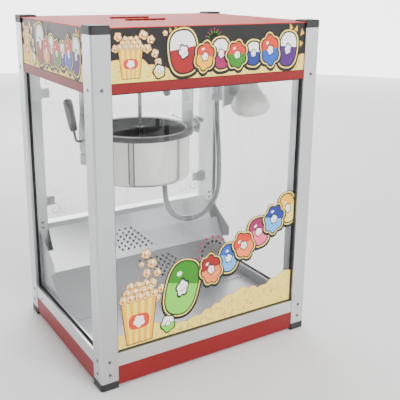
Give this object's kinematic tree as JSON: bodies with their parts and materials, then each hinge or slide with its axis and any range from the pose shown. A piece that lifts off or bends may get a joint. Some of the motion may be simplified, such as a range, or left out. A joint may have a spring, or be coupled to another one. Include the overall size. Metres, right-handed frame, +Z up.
{
  "type": "popcorn maker",
  "caption": "Table-top popcorn cabinet with glazed sides, rear doors, a tipping kettle hung from the header, a driven stirrer, a heat lamp and a perforated serving apron.",
  "frame": {"origin": "middle of the footprint, on the plane of the feet", "axes": "+Z up, the printed front faces -Y, the doors and switches face +Y, +X to the right seen from the front"},
  "size_m": [0.56, 0.45, 0.77],
  "materials": {
    "aluminium": "satin extruded",
    "black_plastic": "moulded",
    "red_sheet": "gloss powder coat",
    "sign_plate": "gloss black panel",
    "stainless": "bright sheet",
    "glass": "clear tempered",
    "acrylic": "clear acrylic",
    "gasket": "black extruded",
    "polished_steel": "polished stainless",
    "pot_coating": "dark hard coat",
    "element": "sheathed",
    "grip": "phenolic",
    "machined_steel": "turned",
    "chrome": "plated",
    "conduit": "corrugated flexible",
    "lamp_glass": "reflector bulb, silvered",
    "lamp_holder": "ceramic and moulded",
    "motor": "satin",
    "rocker_red": "red rocker"
  },
  "bodies": {
    "cabinet": {"post_front_left": "aluminium", "post_front_right": "aluminium", "post_back_left": "aluminium", "post_back_right": "aluminium", "top_caps": "black_plastic", "foot_caps": "black_plastic", "base_skirt": "red_sheet", "base_pan": "stainless", "bottom_rails": "aluminium", "header_rails": "red_sheet", "roof_panel": "red_sheet", "sign_panels": "sign_plate", "control_panel": "sign_plate", "header_floor": "stainless", "glass_panes": "glass", "glass_gaskets": "gasket", "door_sill": "aluminium", "back_panel": "stainless", "serving_apron": "stainless", "side_cheeks": "stainless", "deck_plate": "stainless", "hanger_left": "polished_steel", "hanger_right": "polished_steel", "drive_motor": "motor", "gearbox": "aluminium", "lever_bracket": "polished_steel", "lamp_socket": "lamp_holder", "lamp_bulb": "lamp_glass", "lamp_shield": "stainless", "conduit_socket": "chrome", "conduit_nut": "chrome", "kettle_conduit": "conduit", "terminal_block": "lamp_holder", "power_inlet_gland": "black_plastic", "switch_housings": "black_plastic", "hinge_brackets": "machined_steel", "frame_screws": "machined_steel"},
    "kettle": {"kettle_shell": "polished_steel", "kettle_pot": "pot_coating", "heating_element": "element", "kettle_trunnions": "polished_steel", "tip_lever": "polished_steel", "tip_grip": "grip", "conduit_fitting": "chrome"},
    "agitator": {"agitator": "machined_steel"},
    "shaft_carrier": {"lift_yoke": "machined_steel"},
    "drive_shaft": {"drive_shaft": "machined_steel"},
    "lift_handle": {"lift_lever": "polished_steel", "lift_grip": "grip"},
    "left_door": {"door_left": "acrylic", "door_left_hinges": "machined_steel", "door_left_knob": "grip"},
    "right_door": {"door_right": "acrylic", "door_right_hinges": "machined_steel", "door_right_knob": "grip"},
    "latch": {"hanger_latch": "polished_steel"},
    "heater_switch": {"rocker_heater": "rocker_red"},
    "stirrer_switch": {"rocker_stirrer": "rocker_red"},
    "lamp_switch": {"rocker_lamp": "rocker_red"},
    "drawer": {"kernel_drawer": "stainless"}
  },
  "joints": [
    {"name": "kettle_tip", "type": "hinge", "parent": "cabinet", "child": "kettle", "pos_m": [-0.065, 0, 0.5], "axis": [-1, 0, 0], "range_deg": [0, 70], "deforming": ["kettle_conduit"]},
    {"name": "lift_handle_turn", "type": "hinge", "parent": "cabinet", "child": "lift_handle", "pos_m": [-0.04, 0, 0.623], "axis": [0, 1, 0], "range_deg": [0, 22.9]},
    {"name": "shaft_lift", "type": "slide", "parent": "cabinet", "child": "shaft_carrier", "axis": [0, 0, 1], "range_m": [0, 0.01]},
    {"name": "drive_shaft_spin", "type": "hinge", "parent": "shaft_carrier", "child": "drive_shaft", "pos_m": [-0.065, 0, 0.6], "axis": [0, 0, 1], "continuous": true},
    {"name": "agitator_spin", "type": "hinge", "parent": "kettle", "child": "agitator", "pos_m": [-0.065, 0, 0.45], "axis": [0, 0, 1], "continuous": true},
    {"name": "left_door_swing", "type": "hinge", "parent": "cabinet", "child": "left_door", "pos_m": [-0.232, 0.214, 0.44], "axis": [0, 0, 1], "range_deg": [0, 105]},
    {"name": "right_door_swing", "type": "hinge", "parent": "cabinet", "child": "right_door", "pos_m": [0.232, 0.214, 0.44], "axis": [0, 0, -1], "range_deg": [0, 105]},
    {"name": "latch_swing", "type": "hinge", "parent": "cabinet", "child": "latch", "pos_m": [0.08, -0.034, 0.525], "axis": [1, 0, 0], "range_deg": [0, 8]},
    {"name": "heater_rocker_tilt", "type": "hinge", "parent": "cabinet", "child": "heater_switch", "pos_m": [-0.15, 0.212, 0.712], "axis": [-1, 0, 0], "range_deg": [0, 16]},
    {"name": "stirrer_rocker_tilt", "type": "hinge", "parent": "cabinet", "child": "stirrer_switch", "pos_m": [-0.09, 0.212, 0.712], "axis": [-1, 0, 0], "range_deg": [0, 16]},
    {"name": "lamp_rocker_tilt", "type": "hinge", "parent": "cabinet", "child": "lamp_switch", "pos_m": [-0.03, 0.212, 0.712], "axis": [-1, 0, 0], "range_deg": [0, 16]},
    {"name": "drawer_slide", "type": "slide", "parent": "cabinet", "child": "drawer", "axis": [0, 1, 0], "range_m": [0, 0.15]}
  ],
  "couplings": [
    {"joint": "shaft_lift", "follows": "lift_handle_turn", "m_per_rad": 0.025},
    {"joint": "drive_shaft_spin", "follows": "agitator_spin", "ratio": 1}
  ]
}
